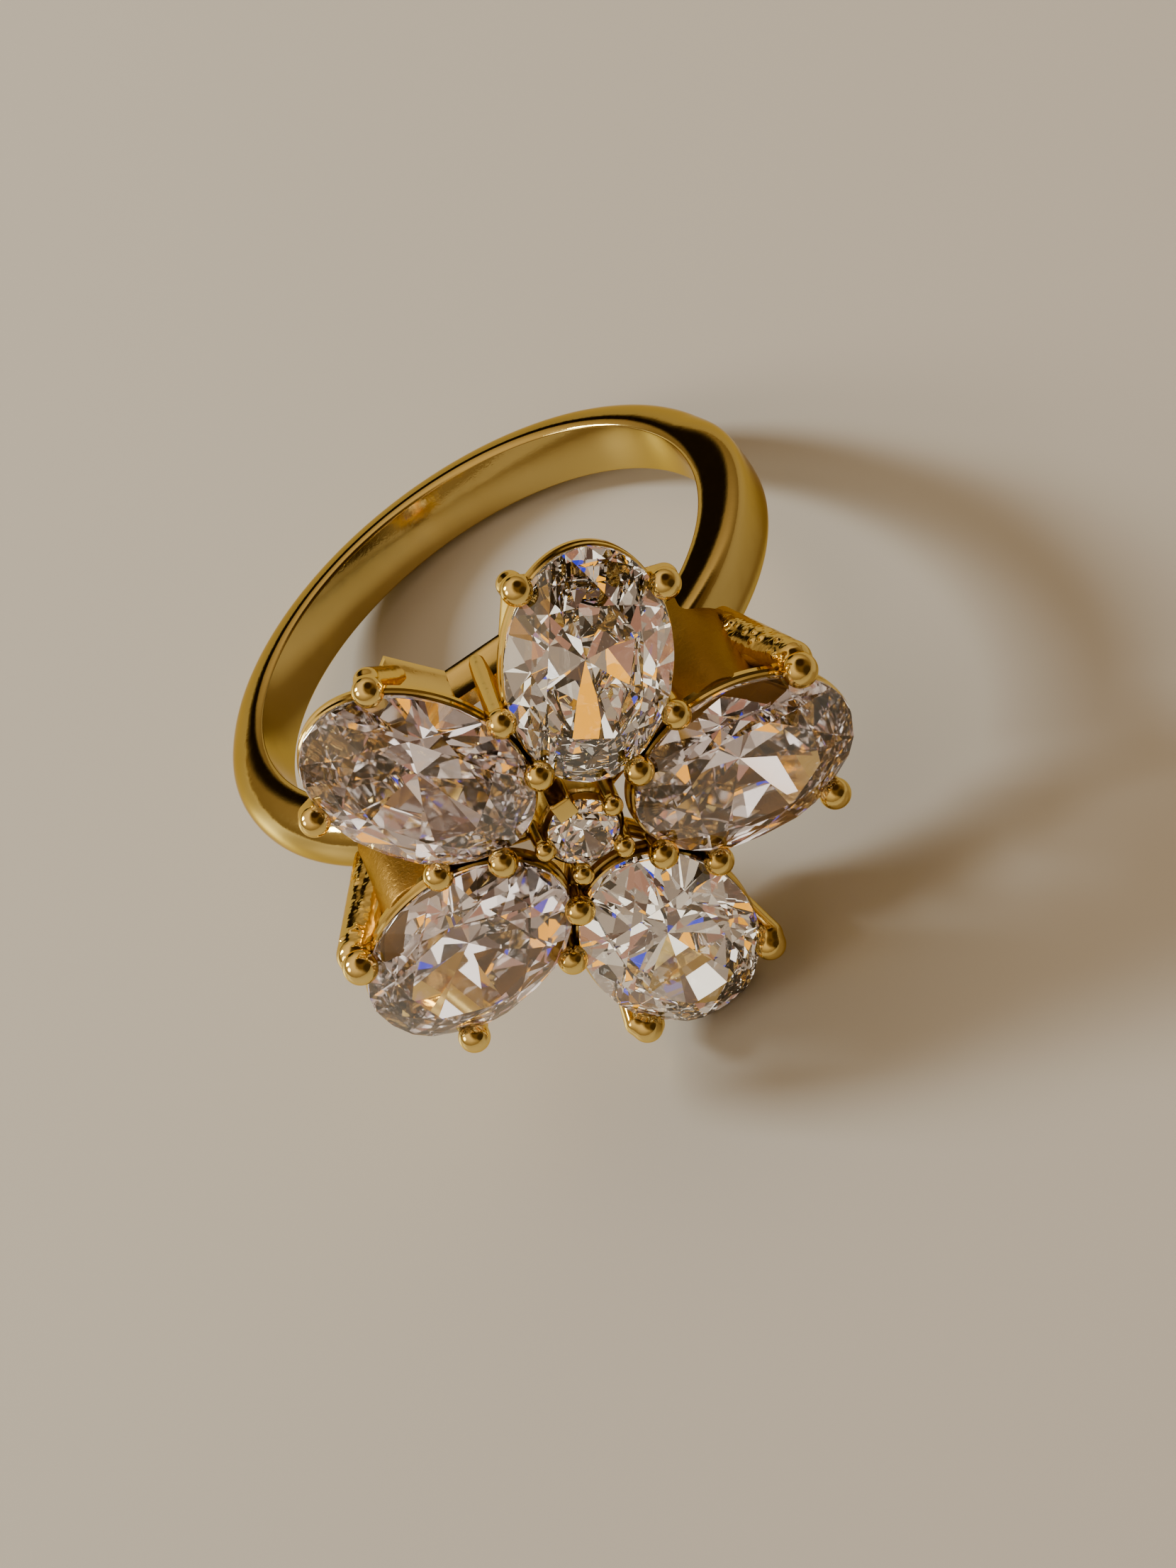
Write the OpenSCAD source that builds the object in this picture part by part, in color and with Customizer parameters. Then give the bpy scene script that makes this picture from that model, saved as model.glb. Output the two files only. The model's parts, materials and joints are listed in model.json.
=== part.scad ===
// Cluster ring: five oval petal stones around a small round one, in a polished gold mount.
// Every piece is drawn with the finger hole's axis along Y and the flower towards +Z.
// The finished ring is then turned about X and lifted until it rests on its lowest petal and the back of its band.

/* [Finger hole and band] */
// Diameter of the finger hole
finger_d = 17.35; // [15:0.05:21]
// Width of the band, along the finger
band_w = 2.3; // [1.8:0.05:2.8]
// Thickness of the band's shoulders, from the finger hole to the flat outer face
band_t = 1.7; // [1.5:0.05:2.2]
// How much thinner the half-round back is than the shoulders
back_relief = 0.04; // [0.02:0.01:0.2]
// Bevel along both edges of the finger hole
hole_bevel = 0.12; // [0.05:0.01:0.2]
// Angle of each end of the band above the middle of the finger hole
band_end = 57; // [55:1:64]
// Angle below the middle of the finger hole at which a shoulder starts to grow out of the half-round back
shoulder_start = 18; // [8:1:30]
// Rounding along both outer edges of the shoulders
shoulder_round = 0.24; // [0.1:0.02:0.4]

/* [Petal stones] */
// Length of an oval stone, outwards from the centre of the flower
petal_len = 8; // [7:0.1:9]
// Width of an oval stone
petal_w = 5.7; // [5:0.1:6.4]
// Height of the crown above the girdle
petal_crown = 0.9; // [0.6:0.05:1.2]
// Thickness of the girdle
petal_girdle = 0.14; // [0.08:0.01:0.25]
// Depth of the pavilion below the girdle
petal_pavilion = 2.4; // [2:0.05:2.8]
// Tilt of each oval stone, outer end down
petal_tilt = 12; // [4:0.5:16]
// Space between the girdles of two neighbours, before they tilt
petal_space = 0.27; // [0.2:0.01:0.5]
// Height of the middle of an oval girdle above the finger hole
petal_lift = 4.53; // [4.2:0.01:5.2]

/* [Centre stone] */
// Diameter of the round stone
centre_d = 2.4; // [2:0.05:2.7]
// Height of its crown
centre_crown = 0.42; // [0.3:0.01:0.6]
// Thickness of its girdle
centre_girdle = 0.08; // [0.05:0.01:0.15]
// Depth of its pavilion
centre_pavilion = 1; // [0.8:0.05:1.2]
// Height of its girdle above the middle of an oval girdle
centre_rise = 0.84; // [0.6:0.01:1.1]

/* [Cut of the stones] */
// Half width of the table, as a share of the girdle's
table_share = 0.56; // [0.45:0.01:0.65]
// Distance of the star facets' tips, as a share of the girdle's
star_share = 0.8; // [0.72:0.01:0.88]
// Distance of the lower girdle facets' tips, as a share of the girdle's
lower_share = 0.3; // [0.2:0.01:0.5]

/* [Claws] */
// Radius of the ball on each outer claw
outer_ball_r = 0.55; // [0.45:0.01:0.65]
// Radius of the ball on each prong between two petals
gap_ball_r = 0.52; // [0.42:0.01:0.6]
// Radius of the ball on each prong of the centre stone
centre_ball_r = 0.37; // [0.3:0.01:0.45]
// How much thinner a claw is than its ball, on the radius
claw_step = 0.08; // [0.05:0.01:0.15]
// Angle round the oval, from its outer end, at which an outer claw stands
claw_angle = 51; // [40:1:60]
// Distance of an outer ball's middle outside the girdle
claw_out = 0.3; // [0.2:0.01:0.4]
// Height of an outer ball's middle above the girdle
claw_up = 0.2; // [0.1:0.01:0.35]
// Radius of an outer claw at its foot in the corner of the gallery
claw_foot_r = 0.5; // [0.4:0.01:0.6]
// Radius of an outer claw at its shoulder, below the ball
claw_shoulder_r = 0.56; // [0.45:0.01:0.65]
// How far that shoulder stands outside the ball
claw_shoulder_out = 0.16; // [0.05:0.01:0.3]
// How far it lies below the ball
claw_shoulder_down = 0.7; // [0.4:0.05:1]
// Distance from where two girdles come nearest out to the middle of the outer prong
gap_out = 1.36; // [1.1:0.01:1.6]
// Distance from where two girdles come nearest in to the middle of the inner prong
gap_in = 0.78; // [0.6:0.01:0.95]
// Height of the outer prong's ball above the girdle beside it
gap_out_up = 0.2; // [0.1:0.01:0.35]
// Height of the inner prong's ball above the girdle beside it
gap_in_up = 0.35; // [0.2:0.01:0.45]
// Length of the inner prong below its ball
gap_in_len = 1.9; // [1.4:0.05:2.3]
// Distance of a centre prong's ball outside the round girdle
centre_out = 0.2; // [0.1:0.01:0.25]
// Height of a centre prong's ball above the round girdle
centre_up = 0.38; // [0.25:0.01:0.5]

/* [Seats and gallery] */
// Space between a stone and the metal that holds it
seat_space = 0.05; // [0.03:0.01:0.1]
// How far a seat stands out beyond the girdle
seat_lip = 0.05; // [0.02:0.01:0.15]
// Width of a seat under the girdle
seat_w = 0.7; // [0.5:0.05:0.9]
// Height of a seat
seat_h = 0.7; // [0.5:0.05:0.9]
// Outer radius of the cup under the centre stone
cup_r = 1.45; // [1.35:0.01:1.6]
// Radius of the hole through that cup
cup_hole_r = 0.6; // [0.4:0.05:0.8]
// Depth of the cup, below the round girdle
cup_depth = 1.5; // [1.3:0.05:1.7]
// Distance from the round girdle down to the top of the cup
cup_drop = 0.3; // [0.2:0.01:0.4]
// Radius of the spokes that carry the cup from the prongs between the petals
spoke_r = 0.32; // [0.25:0.01:0.4]
// Height of the gallery's wall
gallery_h = 2; // [1.6:0.05:2.2]
// Thickness of the gallery's wall
gallery_t = 0.6; // [0.45:0.05:0.8]
// Half width of one lobe of the gallery
lobe_w = 1.95; // [1.7:0.05:2.1]
// Reach of a lobe outwards from the middle of its stone
lobe_out = 0.96; // [0.7:0.01:1.2]
// Reach of the lobe's sides inwards from the middle of its stone
lobe_in = 1.25; // [1:0.05:1.5]
// How far the gallery's foot reaches below the top of the finger hole
gallery_drop = 0.23; // [0.1:0.01:0.3]

/* [Shoulders] */
// Thickness of the plate that closes the side of the basket above each band end
plate_t = 0.8; // [0.6:0.05:1]
// How far that plate stands out beyond the band's side
plate_out = 0.05; // [0.02:0.01:0.1]
// Angle above the middle of the finger hole at which the plate leaves the band, on the lower petal's side
plate_low = 42; // [39:0.5:45]
// The same on the upper petal's side
plate_high = 48.5; // [46:0.5:52]

/* [Hidden] */
$fn = 48;
petal_count = 5;
cut_count = 8;
square_prong = 2;

gold = [0.83, 0.64, 0.25];
lilac = [0.88, 0.82, 0.88];
clear = [0.93, 0.93, 0.9];

// Band
hole_r = finger_d / 2;
band_r = hole_r + band_t;
round_r = band_w / 2;
back_r = band_r - back_relief;
round_centre = back_r - round_r;
shoulder_foot_r = round_centre - hole_bevel;

// Flower
petal_a = petal_len / 2;
petal_b = petal_w / 2;
half_turn = 180 / petal_count;
girdle_z = hole_r + petal_lift;
plan_a = petal_a * cos(petal_tilt);
near_reach = sqrt(pow(plan_a * sin(half_turn), 2) + pow(petal_b * cos(half_turn), 2));
petal_r = (near_reach + petal_space / 2) / sin(half_turn);
near_u = -pow(plan_a, 2) * sin(half_turn) / near_reach;
near_v = pow(petal_b, 2) * cos(half_turn) / near_reach;
near_r = (petal_r + near_u) * cos(half_turn) + near_v * sin(half_turn);

centre_r = centre_d / 2;
centre_z = girdle_z + centre_rise;

// Gallery
gallery_z = hole_r - gallery_drop;
gallery_top = gallery_z + gallery_h;
valley_r = (petal_r - lobe_in) * cos(half_turn) + lobe_w * sin(half_turn);

function petal_axis(k) = -90 + 2 * half_turn * k;
function gap_axis(k) = petal_axis(k) + half_turn;

// A point given in a stone's own directions, as a point of the upright ring
function petal_point(k, u, v, w) =
    let (r = petal_r + u * cos(petal_tilt) + w * sin(petal_tilt))
    [r * cos(petal_axis(k)) - v * sin(petal_axis(k)),
     r * sin(petal_axis(k)) + v * cos(petal_axis(k)),
     girdle_z - u * sin(petal_tilt) + w * cos(petal_tilt)];

// The same without the tilt, at a height of the ring
function lobe_point(k, u, v, z) =
    [(petal_r + u) * cos(petal_axis(k)) - v * sin(petal_axis(k)),
     (petal_r + u) * sin(petal_axis(k)) + v * cos(petal_axis(k)),
     z];

function gap_point(k, r, z) = [r * cos(gap_axis(k)), r * sin(gap_axis(k)), z];

// Height of the girdles beside a prong that stands between two petals
function gap_girdle_z(r) = girdle_z - (r * cos(half_turn) - petal_r) * tan(petal_tilt);

// Outer claws
claw_normal = let (n = [cos(claw_angle) / petal_a, sin(claw_angle) / petal_b]) n / norm(n);
claw_u = petal_a * cos(claw_angle) + claw_out * claw_normal[0];
claw_v = petal_b * sin(claw_angle) + claw_out * claw_normal[1];

// Resting place: the floor touches the outer end of the lowest petal's seat and the round back of the band
low_edge = petal_point(0, petal_a + seat_lip, 0, -petal_girdle / 2 - seat_space - seat_h);
rest_span = [low_edge[1], low_edge[2] + round_centre];
rest_tilt = atan2(rest_span[1], rest_span[0]) - acos(-round_r / norm(rest_span));
rest_turn = 90 - rest_tilt;
floor_z = low_edge[1] * sin(rest_turn) + low_edge[2] * cos(rest_turn);
low_ball = petal_point(0, claw_u, claw_v, claw_up);
low_table = petal_point(0, petal_a * table_share, 0, petal_girdle / 2 + petal_crown);
front_ball = low_ball[1] * cos(rest_turn) - low_ball[2] * sin(rest_turn) - outer_ball_r;
front_table = low_table[1] * cos(rest_turn) - low_table[2] * sin(rest_turn);
front_y = min(front_ball, front_table);
back_y = round_centre * sin(rest_turn) + round_r;
middle_y = (front_y + back_y) / 2;

module at_rest() {
    translate([0, -middle_y, -floor_z])
        rotate([rest_turn, 0, 0])
            children();
}

module at_petal(k) {
    rotate([0, 0, petal_axis(k)])
        translate([petal_r, 0, girdle_z])
            rotate([0, petal_tilt, 0])
                children();
}

// Stones

// Tips of the star and lower girdle facets lie where the facets beside them are flat
function star_drop(crown) = crown * (1 - star_share * cos(180 / cut_count)) / (1 - table_share);
function lower_lift(pavilion) = pavilion * lower_share * cos(180 / cut_count);

function oval_ring(a, b, share, first, count, z) =
    [for (i = [0 : count - 1]) let (t = (first + i) * 360 / count) [a * share * cos(t), b * share * sin(t), z]];

module cut_stone(a, b, crown, girdle, pavilion) {
    n = cut_count;
    m = 2 * n;
    table = 0;
    star = n;
    upper = 2 * n;
    under = upper + m;
    lower = under + m;
    culet = lower + n;
    points = concat(
        oval_ring(a, b, table_share, 0, n, girdle / 2 + crown),
        oval_ring(a, b, star_share, 0.5, n, girdle / 2 + star_drop(crown)),
        oval_ring(a, b, 1, 0, m, girdle / 2),
        oval_ring(a, b, 1, 0, m, -girdle / 2),
        oval_ring(a, b, lower_share, 0.5, n, lower_lift(pavilion) - girdle / 2 - pavilion),
        [[0, 0, -girdle / 2 - pavilion]]
    );
    faces = concat(
        [[for (i = [n - 1 : -1 : 0]) table + i]],
        [for (i = [0 : n - 1]) [table + i, table + (i + 1) % n, star + i]],
        [for (i = [0 : n - 1]) [table + i, star + i, upper + 2 * i, star + (i + n - 1) % n]],
        [for (i = [0 : n - 1]) [star + i, upper + (2 * i + 1) % m, upper + 2 * i]],
        [for (i = [0 : n - 1]) [star + i, upper + (2 * i + 2) % m, upper + (2 * i + 1) % m]],
        [for (i = [0 : m - 1]) [upper + i, upper + (i + 1) % m, under + (i + 1) % m, under + i]],
        [for (i = [0 : n - 1]) [lower + i, under + 2 * i, under + (2 * i + 1) % m]],
        [for (i = [0 : n - 1]) [lower + i, under + (2 * i + 1) % m, under + (2 * i + 2) % m]],
        [for (i = [0 : n - 1]) [culet, lower + (i + n - 1) % n, under + 2 * i, lower + i]]
    );
    polyhedron(points = points, faces = faces, convexity = 4);
}

module petal_stone(k) {
    color(k == 0 || k == 2 ? clear : lilac)
        at_rest()
            at_petal(k)
                cut_stone(petal_a, petal_b, petal_crown, petal_girdle, petal_pavilion);
}

module centre_stone() {
    color(clear)
        at_rest()
            translate([0, 0, centre_z])
                cut_stone(centre_r, centre_r, centre_crown, centre_girdle, centre_pavilion);
}

// Room for a stone: the round form that its edges lie in, wider by the seat's space
module stone_room(a, b, crown, girdle, pavilion) {
    side = b + seat_space;
    scale([(a + seat_space) / side, 1, 1])
        rotate_extrude()
            polygon([
                [0, -girdle / 2 - pavilion - seat_space],
                [side * lower_share, lower_lift(pavilion) - girdle / 2 - pavilion - seat_space],
                [side, -girdle / 2 - seat_space],
                [side, girdle / 2 + seat_space],
                [side * star_share, girdle / 2 + star_drop(crown) + seat_space],
                [side * table_share, girdle / 2 + crown + seat_space],
                [0, girdle / 2 + crown + seat_space]
            ]);
}

// Mount

// A round bar from one point to another
module bar(from, to, r_from, r_to) {
    way = to - from;
    translate(from)
        rotate([0, acos(way[2] / norm(way)), atan2(way[1], way[0])])
            cylinder(h = norm(way), r1 = r_from, r2 = r_to);
}

module band_sweep() {
    rotate([90, 0, 0])
        rotate([0, 0, 180 - band_end])
            rotate_extrude(angle = 180 + 2 * band_end)
                children();
}

// Section from inside the finger hole out to a flat face, with the bevels along the hole's edges
module flat_section(outer_r) {
    polygon([
        [hole_r - 2 * hole_bevel, 3 * hole_bevel - round_r],
        [hole_r + hole_bevel, -round_r],
        [outer_r, -round_r],
        [outer_r, round_r],
        [hole_r + hole_bevel, round_r],
        [hole_r - 2 * hole_bevel, round_r - 3 * hole_bevel]
    ]);
}

// Half-round section, flat towards the finger
module band_back() {
    band_sweep()
        union() {
            flat_section(round_centre);
            intersection() {
                translate([round_centre, 0])
                    circle(r = round_r);
                translate([round_centre, -band_w])
                    square([band_w, 2 * band_w]);
            }
        }
}

// Section of the shoulders, with a flat outer face and its two edges rounded in three steps
module shoulder_section() {
    edge = [for (t = [0 : 30 : 90])
        [band_r - shoulder_round * (1 - sin(t)), round_r - shoulder_round * (1 - cos(t))]];
    polygon(concat(
        [[hole_r - 2 * hole_bevel, 3 * hole_bevel - round_r], [hole_r + hole_bevel, -round_r]],
        [for (p = edge) [p[0], -p[1]]],
        [for (i = [3 : -1 : 0]) edge[i]],
        [[hole_r + hole_bevel, round_r], [hole_r - 2 * hole_bevel, round_r - 3 * hole_bevel]]
    ));
}

// The shoulders swell out of the half-round back over a short slope on either side
module band_shoulders() {
    intersection() {
        band_sweep()
            shoulder_section();
        rotate([90, 0, 0])
            linear_extrude(2 * band_w, center = true)
                polygon([
                    [band_r, 0],
                    [2 * band_r, 0],
                    [2 * band_r, 2 * band_r],
                    [-2 * band_r, 2 * band_r],
                    [-2 * band_r, 0],
                    [-band_r, 0],
                    [-shoulder_foot_r * cos(shoulder_start), -shoulder_foot_r * sin(shoulder_start)],
                    [shoulder_foot_r * cos(shoulder_start), -shoulder_foot_r * sin(shoulder_start)]
                ]);
    }
}

function lobe_inner_u(t) =
    (valley_r - t - (lobe_w - t) * sin(half_turn)) / cos(half_turn) - petal_r;

// Outline of the gallery, a square lobe under each petal, drawn in by t
function gallery_outline(t) =
    [for (k = [0 : petal_count - 1])
        for (p = [[lobe_inner_u(t), t - lobe_w], [lobe_out - t, t - lobe_w],
                  [lobe_out - t, lobe_w - t], [lobe_inner_u(t), lobe_w - t]])
            let (q = lobe_point(k, p[0], p[1], 0)) [q[0], q[1]]];

module gallery() {
    translate([0, 0, gallery_z])
        linear_extrude(gallery_h)
            difference() {
                polygon(gallery_outline(0));
                polygon(gallery_outline(gallery_t));
            }
}

module seat() {
    translate([0, 0, -petal_girdle / 2 - seat_space - seat_h])
        difference() {
            scale([(petal_a + seat_lip) / (petal_b + seat_lip), 1, 1])
                cylinder(r = petal_b + seat_lip, h = seat_h);
            translate([0, 0, -seat_h])
                scale([(petal_a - seat_w) / (petal_b - seat_w), 1, 1])
                    cylinder(r = petal_b - seat_w, h = 3 * seat_h);
        }
}

// From the corner of the gallery up to a shoulder, and from there over the stone's edge to the ball
module outer_claw(k, side) {
    foot = lobe_point(k, lobe_out - gallery_t / 2, side * (lobe_w - gallery_t / 2), gallery_z + gallery_t / 2);
    shoulder = petal_point(k, claw_u + claw_shoulder_out * claw_normal[0],
                           side * (claw_v + claw_shoulder_out * claw_normal[1]), claw_up - claw_shoulder_down);
    ball = petal_point(k, claw_u, side * claw_v, claw_up);
    bar(foot, shoulder, claw_foot_r, claw_shoulder_r - claw_step / 2);
    translate(shoulder)
        sphere(r = claw_shoulder_r);
    bar(shoulder, ball, claw_shoulder_r - claw_step, outer_ball_r - claw_step);
    translate(ball)
        sphere(r = outer_ball_r);
}

module gap_prongs(k) {
    out_r = near_r + gap_out;
    in_r = near_r - gap_in;
    out_ball = gap_point(k, out_r, gap_girdle_z(out_r) + gap_out_up);
    in_ball = gap_point(k, in_r, gap_girdle_z(in_r) + gap_in_up);
    bar(gap_point(k, valley_r - gallery_t / 2, gallery_z + gallery_t / 2), out_ball,
        gap_ball_r - claw_step, gap_ball_r - claw_step);
    translate(out_ball)
        sphere(r = gap_ball_r);
    bar(in_ball - [0, 0, gap_in_len], in_ball, gap_ball_r - claw_step, gap_ball_r - claw_step);
    translate(in_ball)
        sphere(r = gap_ball_r);
}

module centre_cup() {
    spoke_z = centre_z - cup_depth + spoke_r;
    spoke_in = (cup_r + cup_hole_r) / 2;
    translate([0, 0, centre_z - cup_depth])
        difference() {
            cylinder(r = cup_r, h = cup_depth - cup_drop);
            translate([0, 0, -cup_depth])
                cylinder(r = cup_hole_r, h = 3 * cup_depth);
        }
    for (k = [0 : petal_count - 1])
        bar(gap_point(k, spoke_in, spoke_z), gap_point(k, near_r - gap_in, spoke_z), spoke_r, spoke_r);
}

// One of the five ends square and flat, the others in a ball
module centre_prong(k) {
    ball = gap_point(k, centre_r + centre_out, centre_z + centre_up);
    bar(ball - [0, 0, centre_up + cup_drop + cup_depth / 2], ball,
        centre_ball_r - claw_step / 2, centre_ball_r - claw_step / 2);
    translate(ball)
        if (k == square_prong)
            rotate([0, 0, gap_axis(k)])
                cube([2 * centre_ball_r, 2 * centre_ball_r, centre_ball_r], center = true);
        else
            sphere(r = centre_ball_r);
}

// Plate from the band's end up to the seat of the petal above it, on the right
module shoulder_plate() {
    far_corner = [band_r * cos(plate_low), 0.8 * round_r];
    near_corner = [band_r * cos(plate_high), round_r + plate_out];
    intersection() {
        translate([0, 0, band_r * sin(plate_low) - plate_t / 4])
            linear_extrude(petal_lift)
                polygon([
                    [far_corner[0], -far_corner[1]],
                    near_corner,
                    [valley_r, near_corner[1]],
                    [valley_r, near_corner[1] - plate_t],
                    [near_corner[0] - plate_t, near_corner[1] - plate_t],
                    [far_corner[0] - plate_t, -far_corner[1]]
                ]);
        at_petal(1)
            translate([0, 0, -petal_girdle / 2 - seat_space - seat_h / 2 - petal_a])
                cube([4 * petal_a, 4 * petal_a, 2 * petal_a], center = true);
    }
}

// Second bar of the claw beside that plate, which stands on the band's end
module shoulder_claw() {
    foot_r = band_r - 1.2 * outer_ball_r;
    foot_angle = (plate_low + plate_high) / 2;
    bar([foot_r * cos(foot_angle), -round_r / 3, foot_r * sin(foot_angle)],
        petal_point(1, claw_u, claw_v, claw_up), outer_ball_r, outer_ball_r - 1.5 * claw_step);
}

module ring_mount() {
    color(gold)
        at_rest()
            difference() {
                union() {
                    band_back();
                    band_shoulders();
                    gallery();
                    centre_cup();
                    for (k = [0 : petal_count - 1]) {
                        at_petal(k)
                            seat();
                        outer_claw(k, -1);
                        outer_claw(k, 1);
                        gap_prongs(k);
                        centre_prong(k);
                    }
                    for (side = [0, 1])
                        mirror([side, 0, 0]) {
                            shoulder_plate();
                            shoulder_claw();
                        }
                }
                rotate([90, 0, 0])
                    cylinder(r = hole_r, h = 4 * hole_r, center = true);
                for (k = [0 : petal_count - 1])
                    at_petal(k)
                        stone_room(petal_a, petal_b, petal_crown, petal_girdle, petal_pavilion);
                translate([0, 0, centre_z])
                    stone_room(centre_r, centre_r, centre_crown, centre_girdle, centre_pavilion);
            }
}

ring_mount();
petal_stone(0);  // petal_stone_1
petal_stone(1);  // petal_stone_2
petal_stone(2);  // petal_stone_3
petal_stone(3);  // petal_stone_4
petal_stone(4);  // petal_stone_5
centre_stone();
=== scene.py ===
"""Looks of the cluster ring: a gold band and head, five oval petal stones and a round one in the middle.

Shapes are worked out in millimetres on the upright ring: finger hole along Y, flower towards +Z.
They are then laid down to the ring's resting place, which comes from the frame's finger bore.
"""

import json
from math import atan2, cos, pi, radians, sin, sqrt, tan

import bmesh
import bpy
import numpy as np
from mathutils import Matrix, Vector


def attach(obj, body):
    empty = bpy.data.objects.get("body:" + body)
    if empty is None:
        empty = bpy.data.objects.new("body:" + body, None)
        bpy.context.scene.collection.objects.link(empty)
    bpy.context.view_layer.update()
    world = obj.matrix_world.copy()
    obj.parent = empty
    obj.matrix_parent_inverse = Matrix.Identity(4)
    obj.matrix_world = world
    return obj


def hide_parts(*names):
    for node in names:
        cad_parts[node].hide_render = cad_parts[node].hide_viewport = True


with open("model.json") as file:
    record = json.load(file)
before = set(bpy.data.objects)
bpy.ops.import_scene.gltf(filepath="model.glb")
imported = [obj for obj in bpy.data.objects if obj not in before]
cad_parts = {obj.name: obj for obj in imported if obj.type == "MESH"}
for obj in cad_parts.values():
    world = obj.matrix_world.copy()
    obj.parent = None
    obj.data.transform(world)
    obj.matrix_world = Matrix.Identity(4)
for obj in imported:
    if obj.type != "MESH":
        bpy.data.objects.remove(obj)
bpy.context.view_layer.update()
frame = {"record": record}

# Ring sizes in millimetres and angles in radians, as the solids have them
HOLE_R = 8.675
BAND_R = 10.375
BACK_R = 10.335
ROUND_R = 1.15
BAND_END = radians(57)

PETAL_A = 4.0
PETAL_B = 2.85
PETAL_CROWN = 0.9
PETAL_GIRDLE = 0.14
PETAL_PAVILION = 2.4
PETAL_TILT = radians(12)
PETAL_SPACE = 0.27
CENTRE_A = 1.2
CENTRE_CROWN = 0.42
CENTRE_GIRDLE = 0.08
CENTRE_PAVILION = 1.0
TABLE_SHARE = 0.56
STAR_SHARE = 0.8
LOWER_SHARE = 0.3

GIRDLE_Z = HOLE_R + 4.53
CENTRE_Z = GIRDLE_Z + 0.84
SEAT_SPACE = 0.05
SEAT_LIP = 0.05
SEAT_W = 0.7
SEAT_H = 0.7
GALLERY_Z = HOLE_R - 0.23
GALLERY_H = 2.0
GALLERY_T = 0.6
LOBE_W = 1.95
LOBE_OUT = 0.96
LOBE_IN = 1.25
CUP_R = 1.45
CUP_HOLE_R = 0.6
CUP_DEPTH = 1.5
CUP_DROP = 0.3
SPOKE_R = 0.32

PETALS = 5
HALF_TURN = pi / PETALS
PLAN_A = PETAL_A * cos(PETAL_TILT)
NEAR_REACH = sqrt((PLAN_A * sin(HALF_TURN)) ** 2 + (PETAL_B * cos(HALF_TURN)) ** 2)
PETAL_R = (NEAR_REACH + PETAL_SPACE / 2) / sin(HALF_TURN)
NEAR_R = ((PETAL_R - PLAN_A**2 * sin(HALF_TURN) / NEAR_REACH) * cos(HALF_TURN)
          + PETAL_B**2 * cos(HALF_TURN) / NEAR_REACH * sin(HALF_TURN))
VALLEY_R = (PETAL_R - LOBE_IN) * cos(HALF_TURN) + LOBE_W * sin(HALF_TURN)

LILAC_PETALS = (1, 3, 4)
SQUARE_PRONG = 2

# The photograph's camera, on the upright ring
PHOTO_H = 2212
FOCAL_PX = 15542.03
CAMERA_AT = Vector((38.840, 186.340, 320.963))
CAMERA_BACK = Vector((0.10482, 0.51325, 0.85181))
CAMERA_UP = Vector((0.55729, 0.67910, -0.47776))
SENSOR_MM = 36.0
CLIP_NEAR = 0.01
CLIP_FAR = 10

bore = frame["record"]["mounts"][0]
REST = (Matrix.Translation(Vector(bore["pos_m"]))
        @ Matrix.Rotation(atan2(bore["axis"][2], bore["axis"][1]), 4, "X")
        @ Matrix.Scale(0.001, 4))


# Places on the upright ring

def petal_axis(k):
    return -pi / 2 + 2 * HALF_TURN * k


def gap_axis(k):
    return petal_axis(k) + HALF_TURN


def petal_place(k):
    """Turns a stone's own directions into the upright ring's."""
    return (Matrix.Rotation(petal_axis(k), 4, "Z")
            @ Matrix.Translation((PETAL_R, 0, GIRDLE_Z))
            @ Matrix.Rotation(PETAL_TILT, 4, "Y"))


def lobe_point(k, u, v, z):
    return Matrix.Rotation(petal_axis(k), 4, "Z") @ Vector((PETAL_R + u, v, z))


def lobe_corner(k, side):
    """Where an outer claw stands, inside its lobe's corner."""
    inset = GALLERY_T / 2
    return lobe_point(k, LOBE_OUT - inset, side * (LOBE_W - inset), GALLERY_Z + 0.5 * GALLERY_H)


def gap_point(k, r, z):
    return Vector((r * cos(gap_axis(k)), r * sin(gap_axis(k)), z))


def gap_girdle_z(r):
    """Height of the girdles beside a prong that stands between two petals."""
    return GIRDLE_Z - (r * cos(HALF_TURN) - PETAL_R) * tan(PETAL_TILT)


# Meshes

SAME_POINT = 1e-5


def new_object(name, points, faces, place=None):
    mesh = bpy.data.meshes.new(name)
    turn = place or Matrix.Identity(4)
    mesh.from_pydata([turn @ Vector(p) for p in points], [], faces)
    obj = bpy.data.objects.new(name, mesh)
    bpy.context.scene.collection.objects.link(obj)
    return obj


def face_outwards(obj):
    shape = bmesh.new()
    shape.from_mesh(obj.data)
    bmesh.ops.remove_doubles(shape, verts=shape.verts, dist=SAME_POINT)
    bmesh.ops.recalc_face_normals(shape, faces=shape.faces)
    shape.to_mesh(obj.data)
    shape.free()


def settle(obj):
    """Turns live modifiers into a plain mesh."""
    graph = bpy.context.evaluated_depsgraph_get()
    mesh = bpy.data.meshes.new_from_object(obj.evaluated_get(graph))
    obj.modifiers.clear()
    obj.data = mesh


def ringed(loops, closed=True):
    """Faces between equal loops of points, joined end to end or capped."""
    count = len(loops[0])
    points = [p for loop in loops for p in loop]
    rows = len(loops) if closed else len(loops) - 1
    faces = []
    for i in range(rows):
        for j in range(count):
            a = i * count
            b = (i + 1) % len(loops) * count
            faces.append((a + j, a + (j + 1) % count, b + (j + 1) % count, b + j))
    if not closed:
        faces.append(tuple(reversed(range(count))))
        faces.append(tuple(range(rows * count, (rows + 1) * count)))
    return points, faces


def extruded(outline, low, high):
    loops = [[(x, y, z) for x, y in outline] for z in (low, high)]
    return ringed(loops, closed=False)


# Band

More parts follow.
